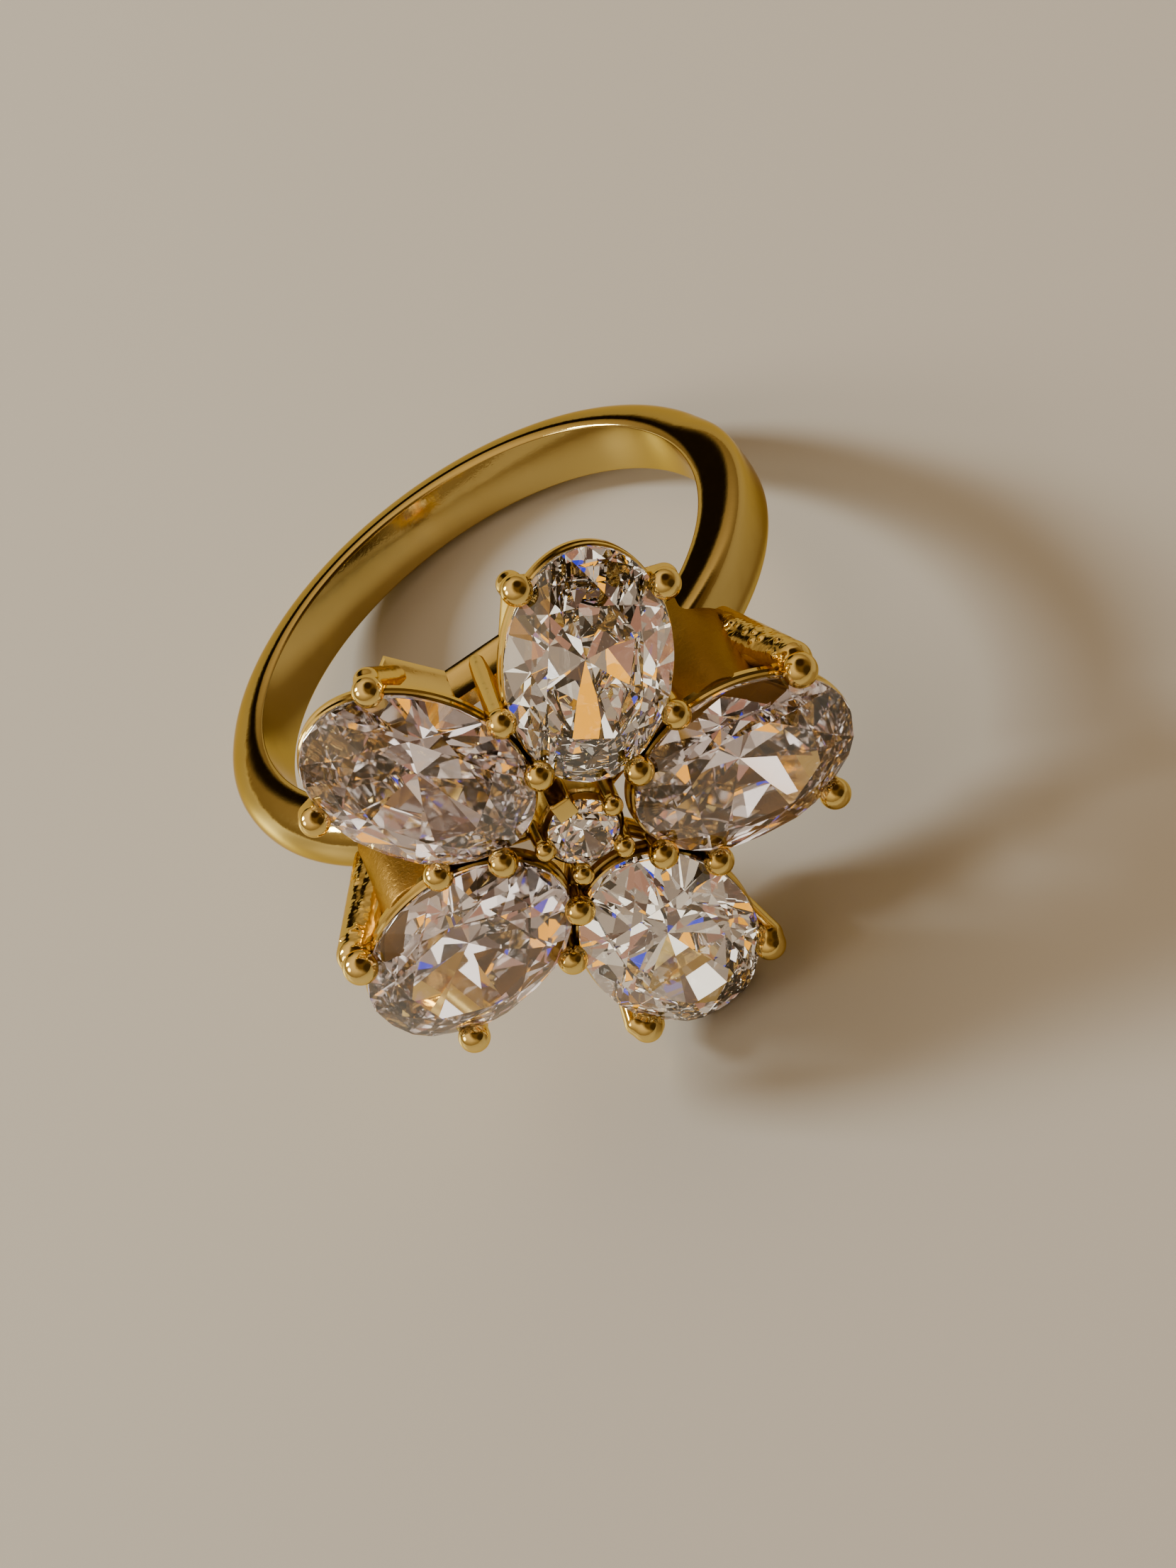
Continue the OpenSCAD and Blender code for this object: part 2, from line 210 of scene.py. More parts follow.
BAND_STEPS = 420
CROWN_COLUMNS = 56
EDGE_COLUMNS = 8
SHOULDER_START = radians(-22)
SHOULDER_FULL = radians(6)
BACK_POWER = 2.0
BACK_CROWN = 1.4
SHOULDER_POWERS = {1: 4.8, -1: 2.2}
SHOULDER_CROWNS = {1: 1.15, -1: 1.35}
EDGE_REACH = 0.38
EDGE_FALL = 0.15


def shoulder_growth(angle):
    """How far the section has grown from the half-round back to the flat shoulder."""
    t = min(max((angle - SHOULDER_START) / (SHOULDER_FULL - SHOULDER_START), 0), 1)
    return t * t * (3 - 2 * t)


def band_loop(angle, side):
    """Section of the band at an angle above the X axis, on the right or the left."""
    growth = shoulder_growth(angle)
    power = 2 / (BACK_POWER + (SHOULDER_POWERS[side] - BACK_POWER) * growth)
    high = BACK_R + (BAND_R - BACK_R) * growth
    low = high - BACK_CROWN + (BACK_CROWN - SHOULDER_CROWNS[side]) * growth
    section = []
    for i in range(CROWN_COLUMNS + 1):
        t = pi * (i / CROWN_COLUMNS - 0.5)
        across = ROUND_R * abs(sin(t)) ** power * (1 if t > 0 else -1)
        section.append((low + (high - low) * max(cos(t), 0) ** power, across))
    turns = [pi / 2 * i / EDGE_COLUMNS for i in range(EDGE_COLUMNS + 1)]
    edge = [(HOLE_R + EDGE_REACH * (1 - sin(t)), ROUND_R - EDGE_FALL * (1 - cos(t))) for t in turns]
    section += edge
    section += [(r, -y) for r, y in reversed(edge)]
    return [(side * r * cos(angle), y, r * sin(angle)) for r, y in section]


def make_band():
    sweep = pi + 2 * BAND_END
    loops = []
    for i in range(BAND_STEPS + 1):
        angle = BAND_END - sweep * i / BAND_STEPS
        loops.append(band_loop(angle, 1) if angle > -pi / 2 else band_loop(-pi - angle, -1))
    points, faces = ringed(loops, closed=False)
    band = new_object("band", points, faces)
    face_outwards(band)
    return band


# Head

GALLERY_EASE = 0.12
GALLERY_EASE_H = 0.1
RAIL_H = 0.5
RAIL_STEP = 0.07
RAIL_STEP_H = 0.12

SEAT_STEPS = 120
SEAT_SIDE = ((-0.06, 0.02), (0, -0.03), (0.02, -0.16), (-0.1, -0.24), (-0.1, -0.30), (0.02, -0.38))
SEAT_FOOT_EASE_W = 0.08
SEAT_FOOT_EASE_H = 0.06
SEAT_SAG = 0.05
SEAT_SLOPE_START = 0.3
SEAT_SLOPE_GAP = 0.03
SEAT_INNER_GAP = 0.12

CUP_STEPS = 48
CUP_EASE = 0.1
CUP_SPACE = 0.1
CUP_HOLLOW = 0.75


def lobe_inner_u(t):
    return (VALLEY_R - t - (LOBE_W - t) * sin(HALF_TURN)) / cos(HALF_TURN) - PETAL_R


def gallery_outline(t):
    """A square lobe under each petal, drawn in by t."""
    outline = []
    for k in range(PETALS):
        for u, v in ((lobe_inner_u(t), t - LOBE_W), (LOBE_OUT - t, t - LOBE_W),
                     (LOBE_OUT - t, LOBE_W - t), (lobe_inner_u(t), LOBE_W - t)):
            point = lobe_point(k, u, v, 0)
            outline.append((point.x, point.y))
    return outline


def make_gallery():
    """The wall under the petals, with an eased foot and a low rail round it."""
    levels = [(0, GALLERY_EASE), (GALLERY_EASE_H, 0), (RAIL_H, 0), (RAIL_H + RAIL_STEP_H, RAIL_STEP),
              (GALLERY_H, RAIL_STEP), (GALLERY_H, GALLERY_T), (0, GALLERY_T)]
    loops = [[(x, y, GALLERY_Z + z) for x, y in gallery_outline(t)] for z, t in levels]
    points, faces = ringed(loops)
    gallery = new_object("gallery", points, faces)
    face_outwards(gallery)
    return gallery


def make_seat(k):
    """A grooved rim under the girdle, whose top follows the pavilion."""
    slope = PETAL_PAVILION / PETAL_B
    top = -PETAL_GIRDLE / 2 - SEAT_SPACE
    low = top - SEAT_H
    start = SEAT_SLOPE_START * SEAT_W
    section = [(SEAT_LIP + out, top + up) for out, up in SEAT_SIDE]
    section += [(SEAT_LIP, low + SEAT_FOOT_EASE_H), (SEAT_LIP - SEAT_FOOT_EASE_W, low),
                (-SEAT_W / 2, low - SEAT_SAG), (-SEAT_W, top - SEAT_W * slope - SEAT_INNER_GAP),
                (-start, top - start * slope - SEAT_SLOPE_GAP)]
    loops = []
    for i in range(SEAT_STEPS):
        t = 2 * pi * i / SEAT_STEPS
        loops.append([((PETAL_A + d) * cos(t), (PETAL_B + d) * sin(t), w) for d, w in section])
    points, faces = ringed(loops)
    seat = new_object("seat", points, faces, petal_place(k))
    face_outwards(seat)
    return seat


def make_cup():
    """The open cup under the centre stone."""
    low = CENTRE_Z - CUP_DEPTH
    high = CENTRE_Z - CUP_DROP
    profile = [(CUP_HOLE_R, low), (CUP_R, low), (CUP_R, high - CUP_EASE), (CUP_R - CUP_EASE, high),
               (CENTRE_A + CUP_SPACE, high), (CUP_HOLE_R, high - CUP_HOLLOW)]
    turns = [2 * pi * i / CUP_STEPS for i in range(CUP_STEPS)]
    loops = [[(r * cos(t), r * sin(t), z) for r, z in profile] for t in turns]
    points, faces = ringed(loops)
    cup = new_object("cup", points, faces)
    face_outwards(cup)
    return cup


PLATE_T = 0.8
PLATE_OUT = 0.05
PLATE_EASE = 0.08
PLATE_EASE_STEPS = 3
PLATE_FAR_SHARE = 0.8
PLATE_TURN_START = 0.55
PLATE_TURN_END = 0.45
PLATE_TURN_POINTS = 9
PLATE_OFF_HOLE = 0.02
PLATE_LOW = radians(42)
PLATE_HIGH = radians(48.5)


def make_plate(side):
    """Plate from the band's end up to the seat of the petal above it."""
    near_y = ROUND_R + PLATE_OUT
    far = (BAND_R * cos(PLATE_LOW), -PLATE_FAR_SHARE * ROUND_R)
    near = (BAND_R * cos(PLATE_HIGH), near_y)
    start = Vector(near).lerp(Vector(far), PLATE_TURN_START)
    end = Vector(near).lerp(Vector((VALLEY_R, near_y)), PLATE_TURN_END)
    steps = np.linspace(0, 1, PLATE_TURN_POINTS)
    turn = [start.lerp(near, t).lerp(Vector(near).lerp(end, t), t) for t in steps]
    outline = [far, *turn, (VALLEY_R, near_y), (VALLEY_R, near_y - PLATE_T),
               (near[0] - PLATE_T, near_y - PLATE_T), (far[0] - PLATE_T, far[1])]
    low = BAND_R * sin(PLATE_LOW) - PLATE_T / 4
    to_petal = petal_place(1).inverted()
    points = []
    for x, y in outline:
        bottom = max(low, sqrt(max(HOLE_R**2 - x**2, 0)) + PLATE_OFF_HOLE)
        reach = to_petal @ Vector((x, y, GIRDLE_Z))
        top = GIRDLE_Z - (reach.z + SEAT_H / 2 + PETAL_GIRDLE) / cos(PETAL_TILT)
        points += [(side * x, y, bottom), (side * x, y, top)]
    count = len(outline)
    faces = []
    for i in range(count):
        j = (i + 1) % count
        faces.append((2 * i, 2 * j, 2 * j + 1, 2 * i + 1))
    faces.append(tuple(2 * i for i in reversed(range(count))))
    faces.append(tuple(2 * i + 1 for i in range(count)))
    plate = new_object("plate", points, faces)
    face_outwards(plate)
    return plate


# Claws and prongs: bars that end in a ball

BAR_SIDES = 28
BALL_STEPS = 4


def bar_tree():
    """Every edge becomes a round bar that ends in a ball."""
    tree = bpy.data.node_groups.new("bars", "GeometryNodeTree")
    tree.interface.new_socket("Geometry", in_out="INPUT", socket_type="NodeSocketGeometry")
    tree.interface.new_socket("Geometry", in_out="OUTPUT", socket_type="NodeSocketGeometry")
    for radius in ("Foot radius", "Tip radius", "Ball radius"):
        tree.interface.new_socket(radius, in_out="INPUT", socket_type="NodeSocketFloat")

    def node(kind, **links):
        made = tree.nodes.new(kind)
        for name, value in links.items():
            target = made.inputs[name.replace("_", " ")]
            if isinstance(value, bpy.types.NodeSocket):
                tree.links.new(value, target)
            else:
                target.default_value = value
        return made

    given = tree.nodes.new("NodeGroupInput").outputs
    line = node("GeometryNodeMeshToCurve", Mesh=given["Geometry"])
    along = node("GeometryNodeSplineParameter")
    width = tree.nodes.new("ShaderNodeMix")
    tree.links.new(along.outputs["Factor"], width.inputs[0])
    tree.links.new(given["Foot radius"], width.inputs[2])
    tree.links.new(given["Tip radius"], width.inputs[3])
    circle = node("GeometryNodeCurvePrimitiveCircle", Resolution=BAR_SIDES, Radius=1.0)
    bars = node("GeometryNodeCurveToMesh", Curve=line.outputs[0], Profile_Curve=circle.outputs[0],
                Scale=width.outputs[0], Fill_Caps=True)
    ends = node("GeometryNodeCurveEndpointSelection", Start_Size=0, End_Size=1)
    ball = node("GeometryNodeMeshIcoSphere", Radius=given["Ball radius"], Subdivisions=BALL_STEPS)
    balls = node("GeometryNodeInstanceOnPoints", Points=line.outputs[0], Selection=ends.outputs[0],
                 Instance=ball.outputs[0])
    both = tree.nodes.new("GeometryNodeJoinGeometry")
    tree.links.new(bars.outputs[0], both.inputs[0])
    tree.links.new(balls.outputs[0], both.inputs[0])
    whole = node("GeometryNodeRealizeInstances", Geometry=both.outputs[0])
    tree.links.new(whole.outputs[0], tree.nodes.new("NodeGroupOutput").inputs[0])
    return tree


def make_bars(name, tree, lines, foot_r, tip_r, ball_r):
    points = [p for line in lines for p in line]
    bars = new_object(name, [], [])
    bars.data.from_pydata(points, [(2 * i, 2 * i + 1) for i in range(len(lines))], [])
    growth = bars.modifiers.new("bars", "NODES")
    growth.node_group = tree
    values = {"Foot radius": foot_r, "Tip radius": tip_r, "Ball radius": ball_r}
    for entry in tree.interface.items_tree:
        if entry.item_type == "SOCKET" and entry.name in values:
            growth[entry.identifier] = values[entry.name]
    settle(bars)
    return bars


CLAW_ANGLE = radians(51)
CLAW_OUT = 0.3
CLAW_UP = 0.2
CLAW_FOOT_R = 0.46
CLAW_SHOULDER_R = 0.47
CLAW_SHOULDER_OUT = 0.12
CLAW_SHOULDER_DOWN = 0.6
CLAW_TIP_R = 0.46
SHOULDER_CLAW_R = 0.65
SHOULDER_FOOT_IN = 1.2
SHOULDER_TIP_FOOT_R = 0.5
SHOULDER_TIP_R = 0.56
BROAD_CLAWS = ((0, 1), (0, -1))
BROAD_SPREAD = 0.3
BROAD_OUT = 0.04
BROAD_DOWN = 0.22
BROAD_FOOT_R = 0.4
BROAD_TIP_R = 0.46
OUTER_BALL_R = 0.55
SHOULDER_BALL_R = 0.62
GAP_BALL_R = 0.52
CENTRE_BALL_R = 0.37
GAP_OUT = 1.36
GAP_IN = 0.78
GAP_IN_LEN = 1.9
GAP_UP = 0.2
GAP_IN_UP = 0.35
GAP_FOOT_R = 0.34
GAP_TIP_R = 0.44
CENTRE_OUT = 0.2
CENTRE_UP = 0.38
CENTRE_PRONG_R = 0.33


def claw_point(k, side, out, up):
    """A point beside an outer claw's place on the girdle."""
    across = Vector((cos(CLAW_ANGLE) / PETAL_A, sin(CLAW_ANGLE) / PETAL_B)).normalized()
    u = PETAL_A * cos(CLAW_ANGLE) + out * across.x
    v = PETAL_B * sin(CLAW_ANGLE) + out * across.y
    return petal_place(k) @ Vector((u, side * v, up))


def claw_ball(k, side):
    return claw_point(k, side, CLAW_OUT, CLAW_UP)


def claw_shoulder(k, side):
    return claw_point(k, side, CLAW_OUT + CLAW_SHOULDER_OUT, CLAW_UP - CLAW_SHOULDER_DOWN)


def outer_claws():
    return [(k, side) for k in range(PETALS) for side in (-1, 1)]


def outer_claw_lines():
    return [(lobe_corner(k, side), claw_shoulder(k, side)) for k, side in outer_claws()]


def outer_tip_lines():
    return [(claw_shoulder(k, side), claw_ball(k, side)) for k, side in outer_claws()]


def broad_claw_lines():
    """Two bars side by side widen the claws of the lowest petal below their balls."""
    lines = []
    for k, side in BROAD_CLAWS:
        foot = lobe_corner(k, side)
        top = claw_point(k, side, CLAW_OUT + BROAD_OUT, CLAW_UP - BROAD_DOWN)
        outwards = claw_point(k, side, 1, 0) - claw_point(k, side, 0, 0)
        along = (claw_ball(k, side) - foot).cross(outwards).normalized()
        for spread in (BROAD_SPREAD, -BROAD_SPREAD):
            lines.append((foot + spread * along, top + spread * along))
    return lines


def shoulder_claw_lines():
    """Two bars to each claw over the band's ends: one from the band, one from beside the gallery."""
    reach = BAND_R - SHOULDER_FOOT_IN * OUTER_BALL_R
    angle = (PLATE_LOW + PLATE_HIGH) / 2
    foot = Vector((reach * cos(angle), -ROUND_R / 3, reach * sin(angle)))
    top = claw_shoulder(1, 1)
    pairs = [(foot, top), (foot.lerp(lobe_corner(1, 1), 0.5), top)]
    return [tuple(Vector((s * p.x, p.y, p.z)) for p in pair) for pair in pairs for s in (1, -1)]


def shoulder_tip_lines():
    """The balls over the band's ends are larger than the others."""
    return [(claw_shoulder(k, side), claw_ball(k, side)) for k, side in ((1, 1), (4, -1))]


def spoke_lines():
    """From the cup's foot to the inner prong of each gap."""
    z = CENTRE_Z - CUP_DEPTH + SPOKE_R
    start = (CUP_R + CUP_HOLE_R) / 2
    return [(gap_point(k, start, z), gap_point(k, NEAR_R - GAP_IN, z)) for k in range(PETALS)]


def gap_prong_lines():
    """Two prongs stand in line in each gap between petals."""
    outer = NEAR_R + GAP_OUT
    inner = NEAR_R - GAP_IN
    lines = []
    for k in range(PETALS):
        lines.append((gap_point(k, VALLEY_R - GALLERY_T / 2, GALLERY_Z + GALLERY_T / 2),
                      gap_point(k, outer, gap_girdle_z(outer) + GAP_UP)))
        top = gap_girdle_z(inner) + GAP_IN_UP
        lines.append((gap_point(k, inner, top - GAP_IN_LEN), gap_point(k, inner, top)))
    return lines


def centre_prong_lines():
    r = CENTRE_A + CENTRE_OUT
    top = CENTRE_Z + CENTRE_UP
    low = top - CENTRE_UP - CUP_DROP - CUP_DEPTH / 2
    return [(gap_point(k, r, low), gap_point(k, r, top)) for k in range(PETALS) if k != SQUARE_PRONG]


def make_square_prong():
    """One prong of the centre stone ends square and flat."""
    half = CENTRE_BALL_R
    top = CENTRE_Z + CENTRE_UP + half / 2
    low = CENTRE_Z - CUP_DROP - CUP_DEPTH / 2
    outline = [(half, -half), (half, half), (-half, half), (-half, -half)]
    points, faces = extruded(outline, low, top)
    place = (Matrix.Translation(gap_point(SQUARE_PRONG, CENTRE_A + CENTRE_OUT, 0))
             @ Matrix.Rotation(gap_axis(SQUARE_PRONG), 4, "Z"))
    prong = new_object("square_prong", points, faces, place)
    face_outwards(prong)
    return prong


SOLDER_SEED = 7
SOLDER_SIZES = ((34, 0.11), (16, 0.17))
SOLDER_FACING = Vector((0.1, 0.62, 0.78))
SOLDER_LIFT = 0.03
SOLDER_SCATTER = 0.2
SOLDER_OUT = 0.02
SOLDER_RUN = (0.2, 0.95)
SOLDER_ROOT = 0.2
SOLDER_ROOT_R = 0.1


def make_solder(tree):
    """Lumps of solder on the bars that join the band's ends to their claws, as one piece per size."""
    chance = np.random.default_rng(SOLDER_SEED)
    foot, top = shoulder_claw_lines()[0]
    lumps = []
    for count, lump_r in SOLDER_SIZES:
        lines = []
        for side in (1, -1):
            for _ in range(count):
                off = SOLDER_FACING * (SHOULDER_CLAW_R + SOLDER_LIFT)
                off += Vector(chance.normal(0, SOLDER_SCATTER, 3))
                off *= (SHOULDER_CLAW_R + SOLDER_OUT) / off.length
                point = foot.lerp(top, chance.uniform(*SOLDER_RUN)) + off
                point.x *= side
                lines.append((point - SOLDER_ROOT * off, point))
        lumps.append(make_bars("solder", tree, lines, SOLDER_ROOT_R, SOLDER_ROOT_R, lump_r))
    return lumps


CAST_VOXEL = 0.05
CLAW_TRIANGLES = 170000
CLAW_ROUNDS = 14
JOINT_TRIANGLES = 40000
JOINT_ROUNDS = 2
CRISP_ANGLE = radians(32)


def joined(name, pieces):
    """Brings pieces into one mesh, each keeping its own crisp edges."""
    shape = bmesh.new()
    for piece in pieces:
        shape.from_mesh(piece.data)
        bpy.data.objects.remove(piece)
    mesh = bpy.data.meshes.new(name)
    shape.to_mesh(mesh)
    shape.free()
    whole = bpy.data.objects.new(name, mesh)
    bpy.context.scene.collection.objects.link(whole)
    return whole


def melted(name, pieces, triangles, rounds):
    """Melts overlapping pieces into one cast skin, smoothed some rounds and thinned to a triangle count."""
    cast = joined(name, pieces)
    melt = cast.modifiers.new("melt", "REMESH")
    melt.mode = "VOXEL"
    melt.voxel_size = CAST_VOXEL
    settle(cast)
    relax = cast.modifiers.new("relax", "SMOOTH")
    relax.factor = 0.5
    relax.iterations = rounds
    settle(cast)
    cast.data.calc_loop_triangles()
    count = len(cast.data.loop_triangles)
    if count > triangles:
        thin = cast.modifiers.new("thin", "DECIMATE")
        thin.ratio = triangles / count
        settle(cast)
    return cast


def make_basket():
    """The gallery, the seats and the cup, with crisp rims."""
    return joined("basket", [make_gallery(), make_cup()] + [make_seat(k) for k in range(PETALS)])


def make_claws():
    """The claws, prongs and spokes, soft as cast metal."""
    tree = bar_tree()
    kinds = (
        ("outer_claws", outer_claw_lines(), CLAW_FOOT_R, CLAW_SHOULDER_R, CLAW_SHOULDER_R),
        ("outer_tips", outer_tip_lines(), CLAW_TIP_R, CLAW_TIP_R, OUTER_BALL_R),
        ("broad_claws", broad_claw_lines(), BROAD_FOOT_R, BROAD_TIP_R, BROAD_TIP_R),
        ("gap_prongs", gap_prong_lines(), GAP_FOOT_R, GAP_TIP_R, GAP_BALL_R),
        ("shoulder_tips", shoulder_tip_lines(), SHOULDER_TIP_FOOT_R, SHOULDER_TIP_R, SHOULDER_BALL_R),
        ("centre_prongs", centre_prong_lines(), CENTRE_PRONG_R, CENTRE_PRONG_R, CENTRE_BALL_R),
        ("spokes", spoke_lines(), SPOKE_R, SPOKE_R, SPOKE_R),
    )
    pieces = [make_square_prong()]
    for name, lines, foot_r, tip_r, ball_r in kinds:
        pieces.append(make_bars(name, tree, lines, foot_r, tip_r, ball_r))
    return melted("claws", pieces, CLAW_TRIANGLES, CLAW_ROUNDS)


def make_joints():
    """The lumpy bars between the band's ends and the claws above them."""
    tree = bar_tree()
    bars = make_bars("joint_bars", tree, shoulder_claw_lines(), SHOULDER_CLAW_R, SHOULDER_CLAW_R,
                     SHOULDER_CLAW_R)
    return melted("joints", [bars] + make_solder(tree), JOINT_TRIANGLES, JOINT_ROUNDS)


def make_plates():
    """The plates over the band's ends, with their edges eased."""
    plates = joined("plates", [make_plate(1), make_plate(-1)])
    ease = plates.modifiers.new("ease", "BEVEL")
    ease.width = PLATE_EASE
    ease.segments = PLATE_EASE_STEPS
    ease.limit_method = "ANGLE"
    settle(plates)
    return plates


# Stones

FACETS_ROUND = 8
GIRDLE_SIDES = 96
SCALLOP = 0.02

# How much steeper than the pavilion the facets next to the girdle are
STEEPNESS = 1.28

# Random slip of a facet's direction, in radians
CUT_SLIP = 0.010
FAR_OUT = 9
CORNER_SIZE = 0.003
PETAL_SEED = 20
CENTRE_SEED = 31


def facet_planes(crown, girdle, pavilion, seed):
    """Planes of a round brilliant of radius 1, each as a point and the way out, turned by a random slip."""
    step = 2 * pi / FACETS_ROUND
    tip = cos(step / 2)
    star_z = girdle / 2 + crown * (1 - STAR_SHARE * tip) / (1 - TABLE_SHARE)
    lower_z = pavilion * LOWER_SHARE * tip - girdle / 2 - pavilion
    edge = girdle / 2 + SCALLOP

    def at(share, turn, z):
        return Vector((share * cos(turn * step), share * sin(turn * step), z))

    def plane(a, b, c, up):
        way = (b - a).cross(c - a).normalized()
        if way.z * up < 0:
            way = -way
        return a, way

    planes = [(Vector((0, 0, girdle / 2 + crown)), Vector((0, 0, 1)))]
    for i in range(FACETS_ROUND):
        table = at(TABLE_SHARE, i, girdle / 2 + crown)
        beyond = at(TABLE_SHARE, i + 1, girdle / 2 + crown)
        star = at(STAR_SHARE, i + 0.5, star_z)
        corner = at(1, i, edge)
        middle = at(1, i + 0.5, edge)
        after = at(1, i + 1, edge)
        planes.append(plane(table, beyond, star, 1))
        planes.append(plane(table, star, at(STAR_SHARE, i - 0.5, star_z), 1))
        planes.append(plane(star, corner, middle, 1))
        planes.append(plane(star, middle, after, 1))
        low = at(LOWER_SHARE, i + 0.5, lower_z)
        culet = Vector((0, 0, -girdle / 2 - pavilion))
        below = [at(1, i + part, -edge) for part in (0, 0.5, 1)]
        planes.append(plane(culet, low, at(LOWER_SHARE, i - 0.5, lower_z), -1))
        planes.append(plane(low, below[0], below[1], -1))
        planes.append(plane(low, below[1], below[2], -1))
    steep = pavilion * STEEPNESS
    for i in range(2 * FACETS_ROUND):
        rim = at(1, 0.5 * i + 0.25, -edge)
        planes.append((rim, Vector((rim.x * steep, rim.y * steep, -1)).normalized()))
    chance = np.random.default_rng(seed)
    planes = [(p, (w + Vector(chance.normal(0, CUT_SLIP, 3))).normalized()) for p, w in planes]
    for i in range(GIRDLE_SIDES):
        t = 2 * pi * i / GIRDLE_SIDES
        way = Vector((cos(t), sin(t), 0))
        planes.append((way, way))
    return planes


def facet_outline(plane, planes):
    """What is left of one plane when all the others have cut it."""
    point, way = plane
    side = way.orthogonal().normalized()
    other = way.cross(side)
    outline = [point + FAR_OUT * (a * side + b * other) for a, b in ((1, 1), (-1, 1), (-1, -1), (1, -1))]
    for cut, out in planes:
        if cut is point:
            continue
        depth = [(p - cut).dot(out) for p in outline]
        kept = []
        for i, p in enumerate(outline):
            j = (i + 1) % len(outline)
            if depth[i] <= 0:
                kept.append(p)
            if (depth[i] > 0) != (depth[j] > 0):
                kept.append(p.lerp(outline[j], depth[i] / (depth[i] - depth[j])))
        outline = kept
        if len(outline) < 3:
            return []
    return outline


def make_stone(name, a, b, crown, girdle, pavilion, place, seed):
    """The convex hull of the corners that the facets meet in."""
    planes = facet_planes(crown, girdle, pavilion, seed)
    corners = [(p.x * a, p.y * b, p.z) for plane in planes for p in facet_outline(plane, planes)]
    stone = new_object(name, corners, [], place)
    shape = bmesh.new()
    shape.from_mesh(stone.data)
    bmesh.ops.remove_doubles(shape, verts=shape.verts, dist=CORNER_SIZE)
    bmesh.ops.convex_hull(shape, input=shape.verts)
    bmesh.ops.delete(shape, geom=[v for v in shape.verts if not v.link_faces], context="VERTS")
    bmesh.ops.recalc_face_normals(shape, faces=shape.faces)
    shape.to_mesh(stone.data)
    shape.free()
    return stone


# Materials

GOLD_EDGE_TINT = (0.88, 0.72, 0.36, 1.0)
RUB_SCALE = 5200.0
RUB_DULLNESS = 0.10
TONE_SCALE = 260.0
WAVE_SCALE = 420.0
SOLDER_WAVE_SCALE = 1700.0
BUMP_DEPTH = 0.0001
DULLNESS = 0.04
FILED_DULLNESS = 0.32

# Painted shade: hollows that ambient occlusion finds within the reach are painted dark brown and made
# duller
HOLLOW_SHADE = (0.14, 0.065, 0.014)
SHADE_REACH = 0.0014
SHADE_SAMPLES = 6
SHADE_CONTRAST = 2.2
HOLLOW_DULLNESS = 0.35

STONE_IOR = 2.2
LILAC_HAZE = 0.03


class Shade:
    """Wraps a node's output, so that an expression on it adds Math nodes."""

    def __init__(self, tree, out):
        self.tree = tree
        self.out = out

    def maths(self, operation, first, second):
        made = self.tree.nodes.new("ShaderNodeMath")
        made.operation = operation
        for target, value in zip(made.inputs, (first, second)):
            if isinstance(value, Shade):
                self.tree.links.new(value.out, target)
            else:
                target.default_value = value
        return Shade(self.tree, made.outputs[0])

    def __add__(self, other):
        return self.maths("ADD", self, other)

    def __rsub__(self, other):
        return self.maths("SUBTRACT", other, self)

    def __mul__(self, other):
        return self.maths("MULTIPLY", self, other)

    def at_most(self, limit):
        return self.maths("MINIMUM", self, limit)


class Finish:
    """A new material and short ways to add nodes to it."""

    def __init__(self, name):
        self.material = bpy.data.materials.new(name)
        self.material.use_nodes = True
        self.tree = self.material.node_tree
        self.tree.nodes.clear()

    def node(self, kind, settings=None, **sockets):
        made = self.tree.nodes.new(kind)
        for name, value in (settings or {}).items():
            setattr(made, name, value)
        for name, value in sockets.items():
            target = made.inputs[name.replace("_", " ")]
            if isinstance(value, Shade):
                self.tree.links.new(value.out, target)
            else:
                target.default_value = value
        return made

    def out(self, made, name=0):
        return Shade(self.tree, made.outputs[name])

    def place(self):
        return self.out(self.node("ShaderNodeTexCoord"), "Object")

    def noise(self, scale, detail, distortion=0.0):
        made = self.node("ShaderNodeTexNoise", Vector=self.place(), Scale=scale, Detail=detail,
                         Distortion=distortion)
        return self.out(made, "Fac")

    def mix(self, factor, first, second):
        made = self.node("ShaderNodeMix", {"data_type": "RGBA"})
        self.tree.links.new(factor.out, made.inputs[0])
        for target, value in ((made.inputs[6], first), (made.inputs[7], second)):
            if isinstance(value, Shade):
                self.tree.links.new(value.out, target)
            else:
                target.default_value = (*value, 1.0)
        return Shade(self.tree, made.outputs[2])

    def bump(self, height, distance):
        made = self.node("ShaderNodeBump", Height=height, Distance=distance, Strength=1.0)
        return self.out(made, "Normal")

    def done(self, shader):
        end = self.node("ShaderNodeOutputMaterial")
        self.tree.links.new(shader.outputs[0], end.inputs["Surface"])
        return self.material


def gold_finish(name, wave_depth, grain, light, deep, dullness=DULLNESS, wave_scale=WAVE_SCALE, hollow_shade=None):
    """Yellow gold with hand-worked waves and fine rub marks. Painted shade darkens and tints its hollows,
    which ambient occlusion finds, and makes them duller.
    """
    finish = Finish(name)
    waves = finish.noise(wave_scale, 2.0)
    rubs = finish.noise(RUB_SCALE, 4.0, 1.5)
    tone = finish.noise(TONE_SCALE, 2.0)
    colour = finish.mix(tone, light, deep)
    roughness = rubs * RUB_DULLNESS + dullness
    if hollow_shade:
        # Painted shade: the hollows that ambient occlusion finds are painted dark brown
        hollow = finish.node("ShaderNodeAmbientOcclusion", {"samples": SHADE_SAMPLES}, Distance=SHADE_REACH)
        unshaded = (finish.out(hollow, "AO") * SHADE_CONTRAST).at_most(1.0)
        colour = finish.mix(unshaded * unshaded, hollow_shade, colour)
        roughness = roughness + (1 - unshaded) * HOLLOW_DULLNESS
    height = waves * wave_depth + rubs * grain
    shader = finish.node("ShaderNodeBsdfPrincipled", Base_Color=colour, Metallic=1.0,
                         Roughness=roughness, Normal=finish.bump(height, BUMP_DEPTH))
    shader.inputs["Specular Tint"].default_value = GOLD_EDGE_TINT
    return finish.done(shader)


